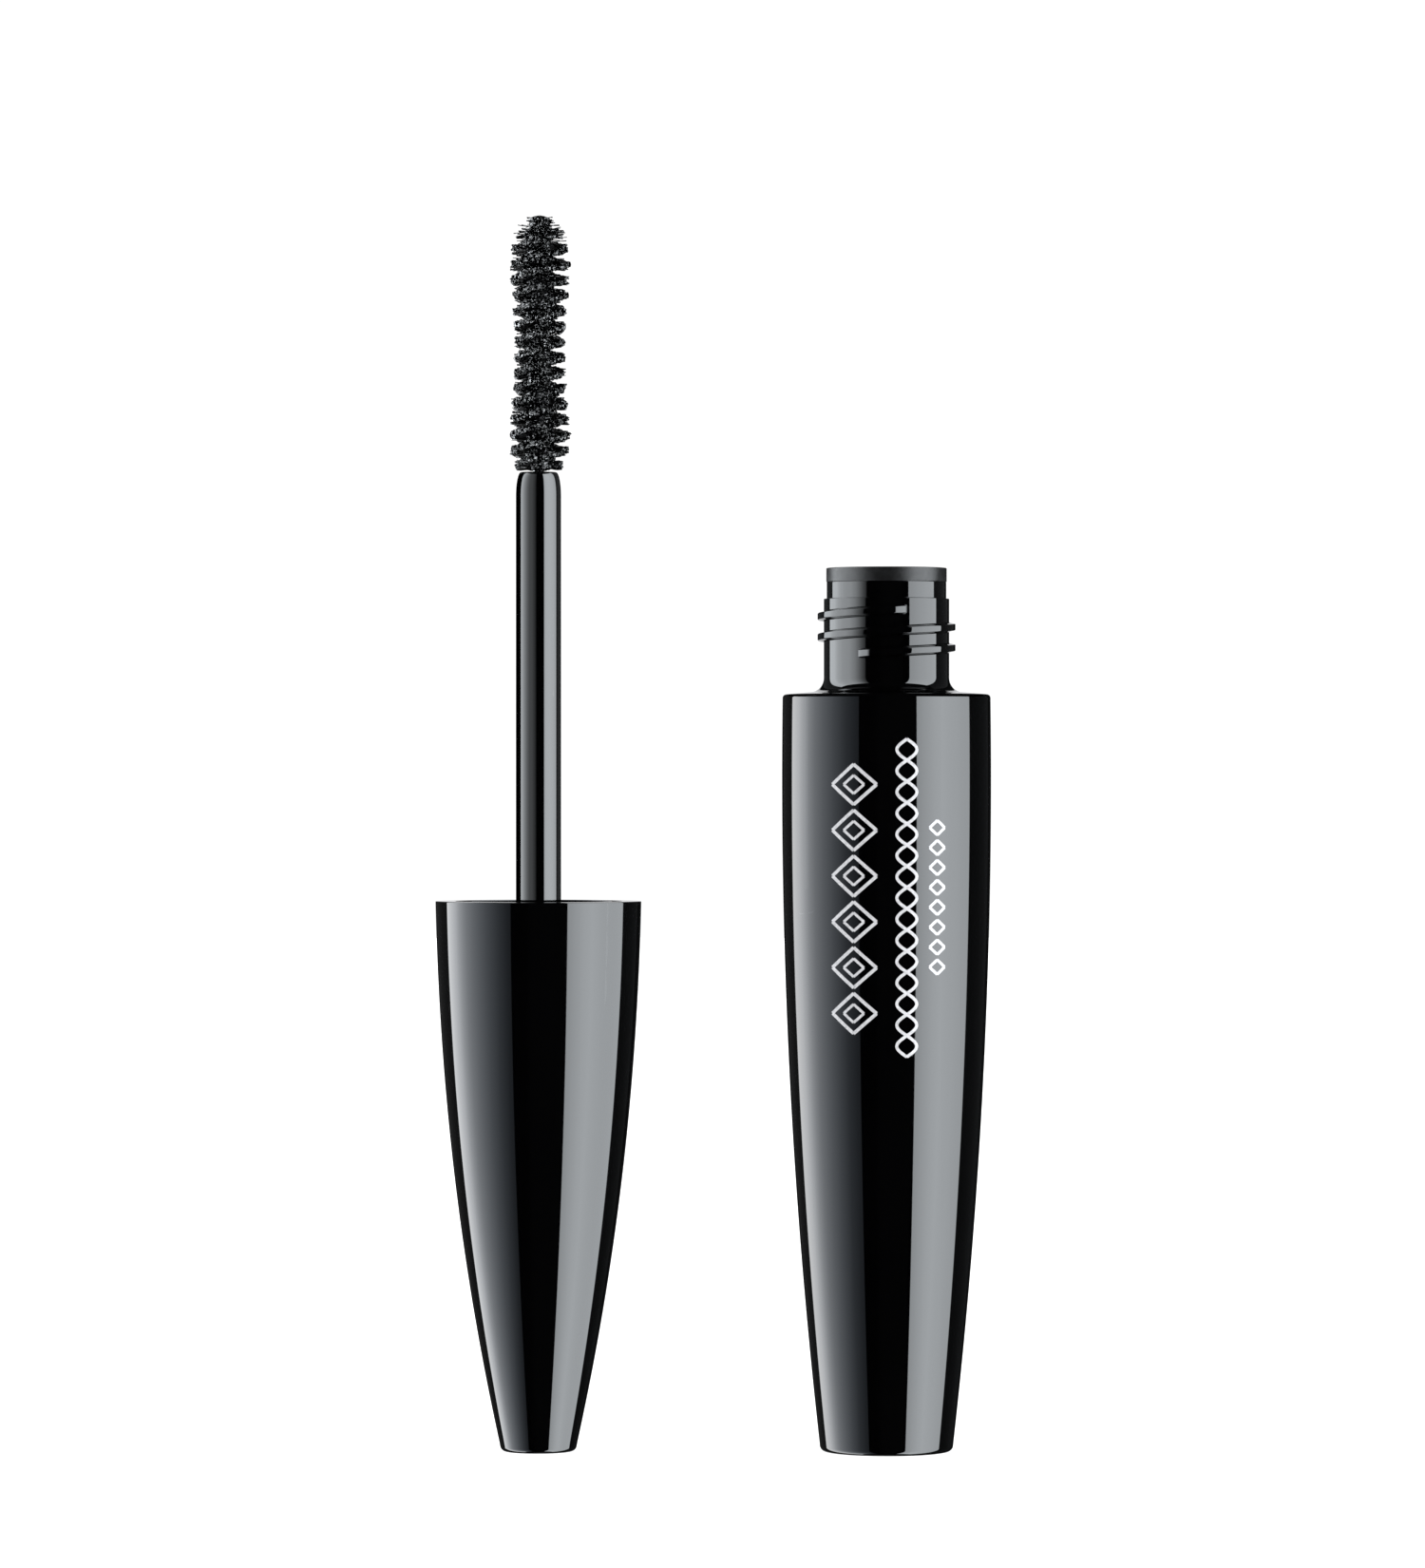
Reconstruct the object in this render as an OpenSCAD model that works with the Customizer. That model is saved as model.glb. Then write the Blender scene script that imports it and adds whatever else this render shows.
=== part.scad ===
// Mascara: a threaded bottle standing on its base, and beside it the wand unit
// (cap, stem and twisted-wire brush) standing upside down on the closed end of its cap.
// Millimetres, +Z up, origin at the centre of the bottle's base.

/* [Bottle] */
// Largest radius of the bottle, just under its shoulder
bottle_r = 10.37; // [10:0.01:11]
// Height at which the bottle is widest
bottle_belly_z = 66.6; // [60:0.1:72]
// Radius of the long arc that the side follows
bottle_side_arc = 583; // [500:1:700]
// Height of the shoulder
shoulder_z = 75.2; // [74:0.1:76]
// Wall thickness of the bottle
bottle_wall = 1.6; // [1.2:0.1:2]
// Thickness of the bottle's floor
bottle_floor = 2.2; // [1.8:0.1:3]
// Rounding of the bottom edge
base_edge_r = 0.6; // [0.4:0.1:0.8]

/* [Neck] */
// Outer radius of the neck below its top land
neck_r = 6.22; // [6.1:0.01:6.4]
// Radius of the narrower land at the neck's top
land_r = 5.93; // [5.8:0.01:6]
// Height at which the land starts
land_z = 84.45; // [84:0.05:85]
// Height of the neck's moulded rim, under the wiper's flange
neck_rim_z = 86.1; // [86:0.1:86.6]
// Radius of the bore that holds the wiper
neck_bore_r = 4.5; // [4.4:0.05:4.6]
// Radius of the fillet between shoulder and neck
neck_fillet_r = 1.5; // [1.2:0.1:1.6]

/* [Screw thread] */
// Rise of the thread in one turn
thread_pitch = 2.05; // [2:0.01:2.1]
// Crest radius of the neck's thread
neck_crest_r = 6.84; // [6.75:0.01:6.9]
// Height at which the neck's thread starts, at its top end
neck_thread_top = 83.3; // [83:0.1:83.4]
// Azimuth of that top end, seen from above
neck_thread_top_angle = 288.1; // [280:0.1:295]
// Turns of thread on the neck
neck_thread_turns = 2.13; // [2:0.01:2.2]
// Turns that the cap makes between closed and free
cap_turns = 2; // [2:1:2]
// Bore radius of the inner cap around the thread
cap_bore_r = 7.05; // [7:0.01:7.1]
// Crest radius of the thread inside the cap
cap_crest_r = 6.42; // [6.4:0.01:6.5]
// Axial play between the two threads when closed
thread_play = 0.1; // [0.08:0.01:0.15]

/* [Wiper] */
// Radius of the wiper's flange
wiper_flange_r = 5.97; // [5.9:0.01:6.1]
// Thickness of the wiper's flange
wiper_flange_t = 1.4; // [1:0.1:1.4]
// Bore radius of the wiping lip
wiper_lip_r = 2.3; // [2.28:0.01:2.32]

/* [Cap] */
// Distance between the bottle's axis and the wand's axis
wand_gap = 34.5; // [34:0.1:38]
// Height of the cap
cap_h = 54.5; // [54:0.1:55]
// Radius that the cap's outline tends to above its mouth
cap_r = 10.29; // [10.2:0.01:10.4]
// Radius of the closed end before its edge is rounded
cap_end_r = 3.68; // [3.6:0.01:4]
// Height at which the outline would stop widening
cap_belly_z = 61.9; // [60:0.1:63]
// Power that sets how fast the outline narrows
cap_curve = 2.1; // [2:0.05:2.2]
// Wall thickness of the cap's hollow part
cap_wall = 1.5; // [1.3:0.1:1.6]

/* [Stem and brush] */
// Radius of the stem
stem_r = 2.24; // [2.22:0.01:2.24]
// Height of the stem's tip
stem_top = 97; // [96:0.5:98]
// Radius of the hollow inside the stem
stem_bore_r = 0.9; // [0.85:0.05:1]
// Radius of the twisted wire
wire_r = 0.6; // [0.5:0.05:0.7]
// Height of the brush's tip
brush_top = 122.4; // [120:0.1:124]
// Radius of the brush at its two fullest places
brush_r = 3.05; // [2.9:0.05:3.1]
// Radius of the brush at its waist
brush_waist_r = 2.6; // [2.4:0.05:2.8]

/* [Hidden] */
$fn = 96;

gloss_black = "#0b0b0d";
soft_black = "#26262a";

outline_steps = 16;
edge_steps = 4;
thread_step = 12;
// Depth that a thread ridge is set into the wall behind it
ridge_embed = 0.25;

// Gap left between the bottle's shoulder and the cap's mouth when closed
closed_gap = 0.05;

neck_top = neck_rim_z + wiper_flange_t;
// Height of the snap bead that holds the wiper in the neck
snap_z = 79.3;

// Parts inside the cap, as heights above its closed end
mouth_recess = 2;
inner_cap_top = cap_h - mouth_recess;
inner_cap_roof = cap_h - 13.5;
inner_cap_step = 40;
inner_cap_foot = 33.5;
inner_cap_r = 8.3;
inner_cap_foot_r = 7.5;
cap_thread_low = cap_h - 8.7;
cap_thread_travel = cap_turns * thread_pitch;

stem_foot = 33.6;
stem_head_r = 3.2;
stem_head_top = 35.2;
stem_tip_l = 2.35;
stem_tip_r = 1.74;

brush_foot = stem_top;
shank_low = 86;
shank_high = 96;

// Side of the bottle: one long arc, widest at bottle_belly_z
function bottle_side(z) =
    bottle_r - bottle_side_arc
    + sqrt(pow(bottle_side_arc, 2) - pow(z - bottle_belly_z, 2));

// Side of the cap, narrowing ever faster towards the closed end
function cap_side(z) =
    cap_r - (cap_r - cap_end_r) * pow((cap_belly_z - z) / cap_belly_z, cap_curve);

// Points of a quarter circle about (x, z), from angle a to angle b
function arc_points(x, z, r, a, b, steps) =
    [for (i = [0 : steps]) let (t = a + (b - a) * i / steps) [x + r * cos(t), z + r * sin(t)]];

function bottle_side_points(inset, low, high) =
    [for (i = [0 : outline_steps]) let (z = low + (high - low) * i / outline_steps)
        [bottle_side(z) - inset, z]];

function cap_side_points(inset, low, high) =
    [for (i = [0 : outline_steps]) let (z = low + (high - low) * i / outline_steps)
        [cap_side(z) - inset, z]];

// Radius of the brush at a fraction u of its length: rounded foot, full, waist, full, round tip
function brush_side(u) =
    let (waist_u = 0.45,
         waist_l = 0.64,
         full_u = waist_u + waist_l / 2,
         tip_u = 1.01,
         foot_u = 0.1,
         roundness = 3,
         wave = cos(360 * (min(u, full_u) - waist_u) / waist_l),
         middle = (brush_r + brush_waist_r) / 2 - (brush_r - brush_waist_r) / 2 * wave,
         past = max((u - full_u) / (tip_u - full_u), (foot_u - u) / (1.6 * foot_u), 0))
    middle * sqrt(1 - pow(past, roundness));

function brush_points() =
    [for (i = [0 : outline_steps]) let (u = i / outline_steps)
        [brush_side(u), brush_foot + (brush_top - brush_foot) * u]];

// One station of a screw ridge, taken the other way round where the crest points inward
function ridge_corners(angle, z, root_r, crest_r, root_w, crest_w) =
    let (way = sign(crest_r - root_r) / 2)
    [for (c = [[root_r, -root_w], [crest_r, -crest_w], [crest_r, crest_w], [root_r, root_w]])
        [c[0] * cos(angle), c[0] * sin(angle), z + c[1] * way]];

// Right-handed screw ridge, from its low end up, ramped down to the wall at both ends
module screw_ridge(root_r, crest_r, root_w, crest_w, low_angle, low_z, turns) {
    steps = ceil(turns * 360 / thread_step);
    end_r = root_r + sign(crest_r - root_r) * (ridge_embed + 0.05);
    stations = [for (i = [0 : steps])
        let (turn = turns * i / steps)
        ridge_corners(low_angle + 360 * turn, low_z + thread_pitch * turn,
                      root_r, i % steps == 0 ? end_r : crest_r, root_w, crest_w)];
    sides = [for (i = [0 : steps - 1], k = [0 : 3])
        let (a = 4 * i + k, b = 4 * i + (k + 1) % 4)
        [a, b, b + 4, a + 4]];
    ends = [[3, 2, 1, 0], [for (k = [0 : 3]) 4 * steps + k]];
    polyhedron([for (s = stations, p = s) p], concat(sides, ends));
}

// Puts a wand part on the wand's axis
module at_wand() {
    translate([-wand_gap, 0, 0]) children();
}

module bottle() {
    ridge_root_w = 0.95;
    ridge_crest_w = 0.6;
    shoulder_edge_r = 0.4;
    shoulder_fall = 0.2;
    label_recess = 0.2;
    label_recess_r = 4.9;
    groove_r = 4.8;
    groove_half = 0.3;
    groove_mouth_half = 0.7;
    cavity_low = 4;
    cavity_corner = 1.5;
    foot_r = bottle_side(base_edge_r) - base_edge_r;
    top_r = bottle_side(shoulder_z) - shoulder_edge_r;
    top_z = shoulder_z - shoulder_fall - shoulder_edge_r;
    neck_foot_r = neck_r + neck_fillet_r;
    neck_foot_z = shoulder_z + neck_fillet_r;
    cavity_top = shoulder_z - 3;
    color(gloss_black) {
        rotate_extrude() polygon(concat(
            [[0, label_recess], [label_recess_r, label_recess], [label_recess_r, 0]],
            arc_points(foot_r, base_edge_r, base_edge_r, -90, 0, edge_steps),
            bottle_side_points(0, base_edge_r * 2, top_z),
            arc_points(top_r, top_z, shoulder_edge_r, 20, 90, edge_steps),
            arc_points(neck_foot_r, neck_foot_z, neck_fillet_r, 270, 180, edge_steps),
            [[neck_r, land_z], [land_r, land_z], [land_r, neck_rim_z],
             [neck_bore_r, neck_rim_z], [neck_bore_r, snap_z + groove_mouth_half],
             [groove_r, snap_z + groove_half], [groove_r, snap_z - groove_half],
             [neck_bore_r, snap_z - groove_mouth_half], [neck_bore_r, shoulder_z],
             [bottle_side(cavity_top) - bottle_wall, cavity_top]],
            [for (i = [outline_steps - 1 : -1 : 0])
                let (z = cavity_low + (cavity_top - cavity_low) * i / outline_steps)
                [bottle_side(z) - bottle_wall, z]],
            [[bottle_side(cavity_low) - bottle_wall - cavity_corner, bottle_floor],
             [0, bottle_floor]]));
        screw_ridge(neck_r - ridge_embed, neck_crest_r, ridge_root_w, ridge_crest_w,
                    neck_thread_top_angle - 360 * neck_thread_turns,
                    neck_thread_top - thread_pitch * neck_thread_turns, neck_thread_turns);
    }
}

// Soft sleeve pressed into the neck: flange, snap bead, funnel and wiping lip
module wiper() {
    sleeve_bore_r = 3.7;
    bead_r = 4.7;
    bead_half = 0.2;
    bead_foot_half = 0.6;
    lip_low = 71;
    lip_high = 72.2;
    lip_outer_r = 3;
    funnel_top = 77;
    color(soft_black)
        rotate_extrude() polygon([
            [wiper_lip_r, lip_low], [lip_outer_r, lip_low], [neck_bore_r, funnel_top],
            [neck_bore_r, snap_z - bead_foot_half], [bead_r, snap_z - bead_half],
            [bead_r, snap_z + bead_half], [neck_bore_r, snap_z + bead_foot_half],
            [neck_bore_r, neck_rim_z], [wiper_flange_r, neck_rim_z],
            [wiper_flange_r, neck_top - 0.15], [wiper_flange_r - 0.15, neck_top],
            [sleeve_bore_r + 0.3, neck_top], [sleeve_bore_r, neck_top - 0.3],
            [sleeve_bore_r, funnel_top + 0.5], [wiper_lip_r, lip_high]]);
}

// Paste lining the bottle, with the channel that the brush leaves in it
module mascara_fill() {
    paste_low = 4;
    paste_top = 60;
    channel_low = 5;
    channel_r = 3.6;
    color("#151414")
        rotate_extrude() polygon(concat(
            [[0, paste_low]],
            bottle_side_points(bottle_wall + 0.02, paste_low, paste_top),
            [[channel_r, paste_top - 1.5], [channel_r, channel_low + 0.8],
             [channel_r - 0.8, channel_low], [0, channel_low]]));
}

// Thin sticker sunk in the bottle's base
module base_label() {
    label_r = 4.6;
    label_t = 0.12;
    label_z = 0.08;
    color("silver")
        translate([0, 0, label_z])
            cylinder(h = label_t, r = label_r);
}

// Straight end of the twisted wire, held inside the hollow stem
module wire_shank() {
    color("silver")
        at_wand()
            translate([0, 0, shank_low])
                cylinder(h = shank_high - shank_low, r = wire_r);
}

// Soft washer round the stem; it seals on the wiper's flange when the cap is tight
module seal_ring() {
    ring_r = 5.7;
    ring_bore_r = stem_r + 0.05;
    ring_play = 0.05;
    ring_low = inner_cap_roof + cap_thread_travel + ring_play;
    ring_t = cap_h + shoulder_z + closed_gap - neck_top - inner_cap_roof - 2 * ring_play;
    color("#4a4a4e")
        at_wand()
            translate([0, 0, ring_low])
                difference() {
                    cylinder(h = ring_t, r = ring_r);
                    translate([0, 0, -1])
                        cylinder(h = ring_t + 2, r = ring_bore_r);
                }
}

// Steel ring that weights the closed end of the cap
module cap_weight() {
    weight_r = 3.9;
    weight_bore_r = 1.4;
    weight_low = 10.2;
    weight_h = 12;
    color("#8d8f94")
        at_wand()
            translate([0, 0, weight_low])
                difference() {
                    cylinder(h = weight_h, r = weight_r);
                    translate([0, 0, -1])
                        cylinder(h = weight_h + 2, r = weight_bore_r);
                }
}

// Tapering outer shell of the cap
module cap_shell() {
    floor_t = 1.8;
    pocket_r = 4;
    pocket_low = 10;
    pocket_high = 14;
    hollow_low = 28;
    hollow_high = 32;
    foot_r = cap_side(base_edge_r) - base_edge_r;
    mouth_edge = 0.15;
    mouth_r = cap_side(cap_h);
    color(gloss_black)
        at_wand()
            rotate_extrude() polygon(concat(
                [[0, 0]],
                arc_points(foot_r, base_edge_r, base_edge_r, -90, -15, edge_steps),
                cap_side_points(0, base_edge_r * 1.6, cap_h - mouth_edge),
                [[mouth_r - mouth_edge, cap_h], [inner_cap_r + mouth_edge, cap_h],
                 [inner_cap_r, cap_h - mouth_edge], [inner_cap_r, inner_cap_step],
                 [inner_cap_foot_r, inner_cap_step], [inner_cap_foot_r, inner_cap_foot]],
                [for (z = [hollow_high, hollow_low])
                    [cap_side(z) - cap_wall, z]],
                [[pocket_r, pocket_high], [pocket_r, pocket_low],
                 [cap_side(floor_t) - cap_wall, floor_t], [0, floor_t]]));
}

// Inner cap: screw thread, roof and the socket that grips the stem
module inner_cap() {
    ridge_root_w = 0.8;
    ridge_crest_w = 0.5;
    entry_r = 7.4;
    entry_low = cap_h - 4;
    entry_high = cap_h - 3.6;
    skirt_t = 1.2;
    boss_r = 4.2;
    boss_low = inner_cap_foot;
    web_z = inner_cap_roof - 2;
    // Sum of the two ridges' half widths where they overlap
    ridge_overlap_w = 0.65;
    // Where each thread's middle would cross azimuth zero: the neck's on the bottle, and
    // the cap's on the standing wand, so that the turned-over cap meets the neck's flank
    neck_zero = neck_thread_top - thread_pitch * neck_thread_top_angle / 360;
    cap_zero = cap_h + shoulder_z + closed_gap - thread_pitch / 2 - neck_zero
        + ridge_overlap_w + thread_play;
    color(soft_black)
        at_wand() {
            rotate_extrude() polygon([
                [stem_r, inner_cap_roof], [cap_bore_r, inner_cap_roof],
                [cap_bore_r, entry_low], [entry_r, entry_high],
                [entry_r, inner_cap_top], [inner_cap_r, inner_cap_top],
                [inner_cap_r, inner_cap_step], [inner_cap_foot_r, inner_cap_step],
                [inner_cap_foot_r, boss_low], [inner_cap_foot_r - skirt_t, boss_low],
                [inner_cap_foot_r - skirt_t, web_z], [boss_r, web_z],
                [boss_r, boss_low], [stem_head_r, boss_low],
                [stem_head_r, stem_head_top], [stem_r, stem_head_top]]);
            screw_ridge(cap_bore_r + ridge_embed, cap_crest_r, ridge_root_w, ridge_crest_w,
                        360 * (cap_thread_low - cap_zero) / thread_pitch, cap_thread_low,
                        cap_turns);
        }
}

// Hollow stem with a head at its foot and a rounded shoulder at its tip
module stem() {
    color(gloss_black)
        at_wand()
            rotate_extrude() polygon(concat(
                [[stem_bore_r, stem_foot], [stem_head_r, stem_foot],
                 [stem_head_r, stem_head_top], [stem_r, stem_head_top]],
                [for (i = [0 : edge_steps * 2])
                    let (t = 90 * i / (edge_steps * 2))
                    [stem_tip_r + (stem_r - stem_tip_r) * cos(t),
                     stem_top - stem_tip_l + stem_tip_l * sin(t)]],
                [[stem_bore_r, stem_top]]));
}

// Twisted wire that carries the bristles
module brush_wire() {
    wire_foot = shank_high + 0.1;
    wire_top = brush_top - 0.6;
    color("silver")
        at_wand()
            translate([0, 0, wire_foot])
                cylinder(h = wire_top - wire_foot, r = wire_r);
}

// Outer shape of the bristles, closed at the tip
module bristles() {
    color("#1b1a1c")
        at_wand()
            difference() {
                rotate_extrude() polygon(concat([[0, brush_foot]], brush_points()));
                translate([0, 0, brush_foot - 1])
                    cylinder(h = brush_top - brush_foot + 0.4, r = wire_r);
            }
}

bottle();
wiper();
mascara_fill();
base_label();
wire_shank();
seal_ring();
cap_weight();
cap_shell();
inner_cap();
stem();
brush_wire();
bristles();
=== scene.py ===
"""Opened mascara: a glossy black threaded bottle, and beside it the wand standing on its cap."""

import math

import bpy
import numpy as np
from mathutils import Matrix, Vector, noise


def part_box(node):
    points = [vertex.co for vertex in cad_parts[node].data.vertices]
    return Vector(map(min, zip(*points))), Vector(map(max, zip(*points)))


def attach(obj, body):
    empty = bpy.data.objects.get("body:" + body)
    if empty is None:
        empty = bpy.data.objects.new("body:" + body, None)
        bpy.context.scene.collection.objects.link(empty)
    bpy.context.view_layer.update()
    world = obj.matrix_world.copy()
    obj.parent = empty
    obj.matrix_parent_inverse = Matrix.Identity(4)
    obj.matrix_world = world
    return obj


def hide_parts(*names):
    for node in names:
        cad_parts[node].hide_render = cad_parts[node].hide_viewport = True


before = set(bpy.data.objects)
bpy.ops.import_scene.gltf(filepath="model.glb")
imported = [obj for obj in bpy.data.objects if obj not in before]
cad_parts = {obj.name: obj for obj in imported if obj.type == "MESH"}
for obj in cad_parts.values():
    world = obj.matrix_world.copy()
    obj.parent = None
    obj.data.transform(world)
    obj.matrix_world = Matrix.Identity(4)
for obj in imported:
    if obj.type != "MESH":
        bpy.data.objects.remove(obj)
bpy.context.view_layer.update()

MM = 0.001
SCENE = bpy.context.scene

# ---------------------------------------------------------------- sizes, in millimetres
# Sizes come from the frame's boxes where a box shows them. The others repeat the CAD source's.


def node_box(node):
    low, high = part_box(node)
    return np.array(low) / MM, np.array(high) / MM


_, BOTTLE_HIGH = node_box("bottle")
WIPER_LOW, WIPER_HIGH = node_box("wiper")
PASTE_LOW, PASTE_HIGH = node_box("mascara_fill")
SEAL_LOW, SEAL_HIGH = node_box("seal_ring")
WEIGHT_LOW, WEIGHT_HIGH = node_box("cap_weight")
SHELL_LOW, SHELL_HIGH = node_box("cap_shell")
INNER_LOW, INNER_HIGH = node_box("inner_cap")
STEM_LOW, STEM_HIGH = node_box("stem")
SHANK_LOW, SHANK_HIGH = node_box("wire_shank")
BRUSH_LOW, BRUSH_HIGH = node_box("bristles")
_, LABEL_HIGH = node_box("base_label")

WAND_X = (SHELL_LOW[0] + SHELL_HIGH[0]) / 2
CAP_H = SHELL_HIGH[2]

BOTTLE_R = BOTTLE_HIGH[0]
BOTTLE_BELLY_Z = 66.6
BOTTLE_SIDE_ARC = 583
BOTTLE_WALL = 1.6
BOTTLE_FLOOR = 2.2
CAVITY_LOW = 4
SHOULDER_Z = 75.2
NECK_RIM_Z = BOTTLE_HIGH[2]
NECK_R = 6.22
LAND_R = 5.93
LAND_Z = 84.45
NECK_BORE_R = 4.5
BASE_EDGE_R = 0.6
WIPER_BORE_R = 3.7
WIPER_LIP_R = 2.3
FUNNEL_Z = 77

THREAD_PITCH = 2.05
NECK_CREST_R = 6.84
NECK_THREAD_TOP = 83.3
NECK_THREAD_TOP_ANGLE = 288.1
NECK_THREAD_TURNS = 2.13

CAP_R = 10.29
CAP_END_R = 3.68
CAP_BELLY_Z = 61.9
CAP_CURVE = 2.1
CAP_WALL = 1.5
CLOSED_GAP = 0.05
INNER_R = 8.3
INNER_FOOT_R = 7.5
INNER_STEP_Z = 40
INNER_ROOF_Z = CAP_H - 13.5
CAP_BORE_R = 7.05
CAP_CREST_R = 6.42
CAP_THREAD_LOW = CAP_H - 8.7

STEM_R = 2.24
STEM_TOP = STEM_HIGH[2]
STEM_BORE_R = 0.9
STEM_HEAD_R = 3.2
STEM_HEAD_TOP = 35.2
WIRE_R = 0.6

BRUSH_FOOT = BRUSH_LOW[2]
BRUSH_TOP = BRUSH_HIGH[2]
BRUSH_R = BRUSH_HIGH[0] - WAND_X
BRUSH_WAIST_R = 2.62
TWIST_PITCH = 3.075
FIRST_ROW_Z = 97.57


def bottle_side(z):
    fall = math.sqrt(BOTTLE_SIDE_ARC**2 - (z - BOTTLE_BELLY_Z) ** 2)
    return BOTTLE_R - BOTTLE_SIDE_ARC + fall


def cap_side(z):
    return CAP_R - (CAP_R - CAP_END_R) * ((CAP_BELLY_Z - z) / CAP_BELLY_Z) ** CAP_CURVE


# ---------------------------------------------------------------- material helpers


class Nodes:
    """A material's nodes, with short ways to add and join the ones used here."""

    def __init__(self, name):
        self.material = bpy.data.materials.new(name)
        self.material.use_nodes = True
        self.tree = self.material.node_tree
        self.shader = self.tree.nodes["Principled BSDF"]
        self.place = self.add("ShaderNodeTexCoord").outputs["Object"]

    def add(self, kind, **settings):
        node = self.tree.nodes.new(kind)
        for key, value in settings.items():
            setattr(node, key, value)
        return node

    def join(self, out, into):
        self.tree.links.new(out, into)

    def set(self, **sockets):
        for key, value in sockets.items():
            self.shader.inputs[key.replace("_", " ")].default_value = value

    def stretched(self, scale):
        mapping = self.add("ShaderNodeMapping")
        mapping.inputs["Scale"].default_value = scale
        self.join(self.place, mapping.inputs["Vector"])
        return mapping.outputs["Vector"]

    def noise(self, scale, detail=4.0, roughness=0.5, place=None):
        node = self.add("ShaderNodeTexNoise")
        node.inputs["Scale"].default_value = scale
        node.inputs["Detail"].default_value = detail
        node.inputs["Roughness"].default_value = roughness
        self.join(place or self.place, node.inputs["Vector"])
        return node.outputs["Fac"]

    def cells(self, scale):
        node = self.add("ShaderNodeTexVoronoi")
        node.inputs["Scale"].default_value = scale
        self.join(self.place, node.inputs["Vector"])
        return node.outputs["Distance"]

    def spread(self, fac, low, high, start=0.3, end=0.7):
        node = self.add("ShaderNodeMapRange")
        node.inputs["From Min"].default_value = start
        node.inputs["From Max"].default_value = end
        node.inputs["To Min"].default_value = low
        node.inputs["To Max"].default_value = high
        self.join(fac, node.inputs["Value"])
        return node.outputs["Result"]

    def ramp(self, fac, stops):
        node = self.add("ShaderNodeValToRGB")
        while len(node.color_ramp.elements) < len(stops):
            node.color_ramp.elements.new(0.5)
        for element, (at, color) in zip(node.color_ramp.elements, stops):
            element.position = at
            element.color = (*color, 1)
        self.join(fac, node.inputs["Fac"])
        return node.outputs["Color"]

    def bump(self, height, distance_mm, strength=1.0):
        node = self.add("ShaderNodeBump")
        node.inputs["Distance"].default_value = distance_mm * MM
        node.inputs["Strength"].default_value = strength
        self.join(height, node.inputs["Height"])
        return node.outputs["Normal"]

    def feed(self, **outputs):
        for key, out in outputs.items():
            self.join(out, self.shader.inputs[key.replace("_", " ")])


def gloss_black():
    """Polished black plastic, with a trace of moulding flow and hairline wear."""
    m = Nodes("gloss_black")
    m.set(IOR=1.5)
    flow = m.noise(70, detail=2)
    hairlines = m.noise(900, detail=5, place=m.stretched((1, 1, 0.06)))
    m.feed(
        Base_Color=m.ramp(flow, [(0.3, (0.0002, 0.0002, 0.0003)), (0.7, (0.0004, 0.0004, 0.0005))]),
        Roughness=m.spread(hairlines, 0.02, 0.05),
        Normal=m.bump(m.noise(260, detail=1), 0.0004),
    )
    return m.material


def satin_black(name, low, high, rough, grain):
    """Moulded black plastic with a fine eroded grain."""
    m = Nodes(name)
    m.set(IOR=1.42)
    m.feed(
        Base_Color=m.ramp(m.noise(400), [(0.3, low), (0.7, high)]),
        Roughness=m.spread(m.noise(1500), rough - 0.06, rough + 0.06),
        Normal=m.bump(m.noise(grain, detail=6, roughness=0.6), 0.012, 0.5),
    )
    return m.material


def seal_rubber():
    """Matt grey foam washer with open pores, painted darker in the pores as their shade."""
    m = Nodes("seal_rubber")
    pores_and_shade = m.cells(4200)
    m.feed(
        # Painted shade: the colour is darkest in the middle of each pore, where the bump sinks.
        Base_Color=m.ramp(pores_and_shade, [(0.1, (0.02, 0.02, 0.021)), (0.6, (0.075, 0.075, 0.078))]),
        Roughness=m.spread(m.noise(900), 0.65, 0.9),
        Normal=m.bump(pores_and_shade, 0.05, 0.6),
    )
    return m.material


def drawn_steel():
    """Drawn wire: bright, with fine lines along it."""
    m = Nodes("drawn_steel")
    m.set(Metallic=1.0)
    lines = m.noise(2500, detail=6, place=m.stretched((1, 1, 0.12)))
    m.feed(
        Base_Color=m.ramp(lines, [(0.3, (0.36, 0.36, 0.37)), (0.7, (0.62, 0.62, 0.63))]),
        Roughness=m.spread(lines, 0.2, 0.42),
        Normal=m.bump(lines, 0.01, 0.4),
    )
    return m.material


def turned_steel():
    """Lathe-turned steel: fine rings from the tool and a few dull stains."""
    m = Nodes("turned_steel")
    m.set(Metallic=1.0)
    rings = m.noise(3000, detail=3, place=m.stretched((0.02, 0.02, 1)))
    stains = m.noise(300)
    m.feed(
        Base_Color=m.ramp(stains, [(0.35, (0.3, 0.29, 0.28)), (0.6, (0.5, 0.5, 0.51))]),
        Roughness=m.spread(rings, 0.25, 0.45),
        Normal=m.bump(rings, 0.01, 0.6),
    )
    return m.material


def wet_paste():
    """Thick black mascara paste: wet, lumpy and pulled into small peaks."""
    m = Nodes("wet_paste")
    m.set(IOR=1.45)
    lumps = m.noise(1900, detail=2, roughness=0.55)
    dried = m.noise(600, detail=2)
    m.feed(
        Base_Color=m.ramp(lumps, [(0.35, (0.0001, 0.0001, 0.0001)), (0.7, (0.0006, 0.0005, 0.0006))]),
        Roughness=m.spread(dried, 0.04, 0.3, start=0.42, end=0.62),
        Normal=m.bump(lumps, 0.38),
    )
    return m.material


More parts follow.
